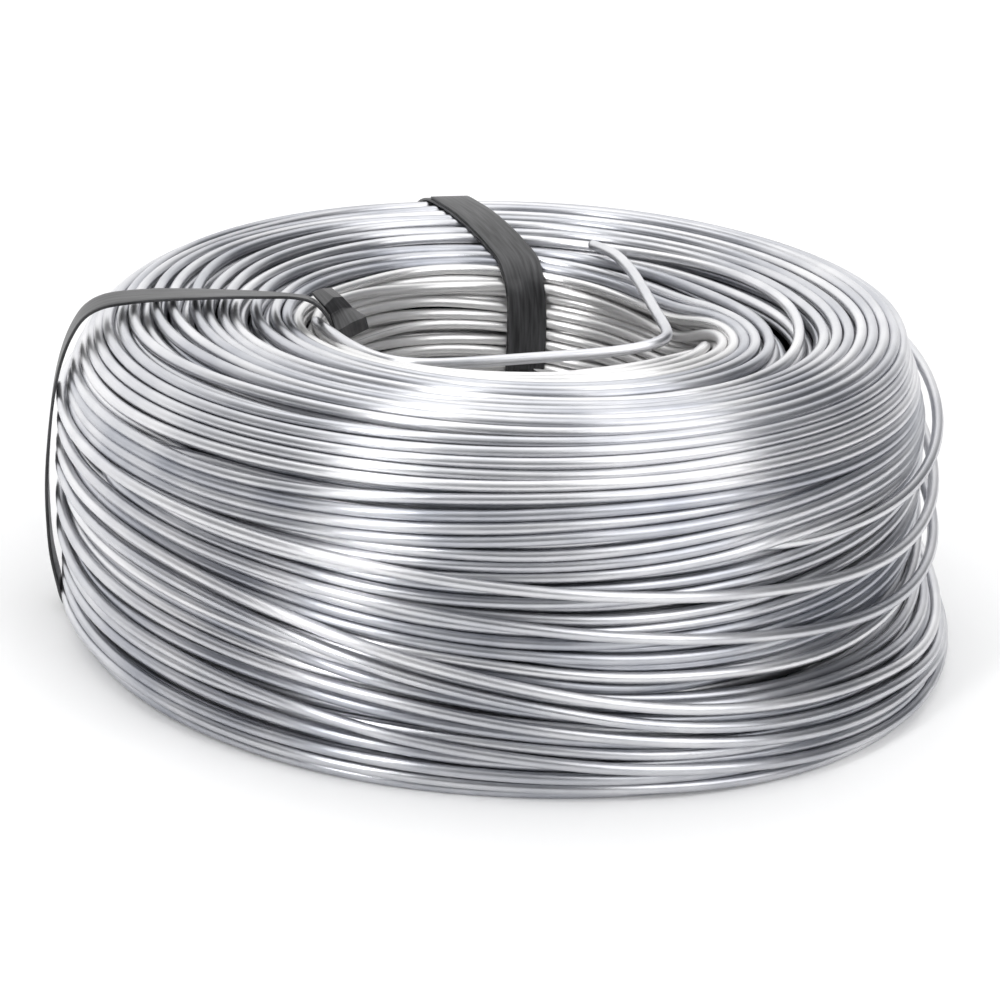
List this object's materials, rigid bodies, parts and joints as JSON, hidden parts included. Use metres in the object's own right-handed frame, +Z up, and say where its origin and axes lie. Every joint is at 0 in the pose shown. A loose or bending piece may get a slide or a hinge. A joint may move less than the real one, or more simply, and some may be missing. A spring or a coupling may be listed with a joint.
{
  "type": "wire coil",
  "caption": "Round coil of bright galvanised steel wire lying flat, with an open bore through its centre and plastic bands tied around its section to hold the turns together",
  "frame": {"origin": "On the axis of the coil at the floor it lies on, which is the lower mouth of its bore", "axes": "+Z is up along the axis of the coil; +X is to the right and +Y is away from the viewer in the picture"},
  "size_m": [0.2787, 0.272, 0.1012],
  "materials": {
    "wire": "bright drawn, galvanised",
    "strap": "satin black strapping"
  },
  "bodies": {
    "root": {"wire_coil": "wire", "wire_end": "wire", "side_strap": "strap", "back_strap": "strap"}
  },
  "joints": []
}
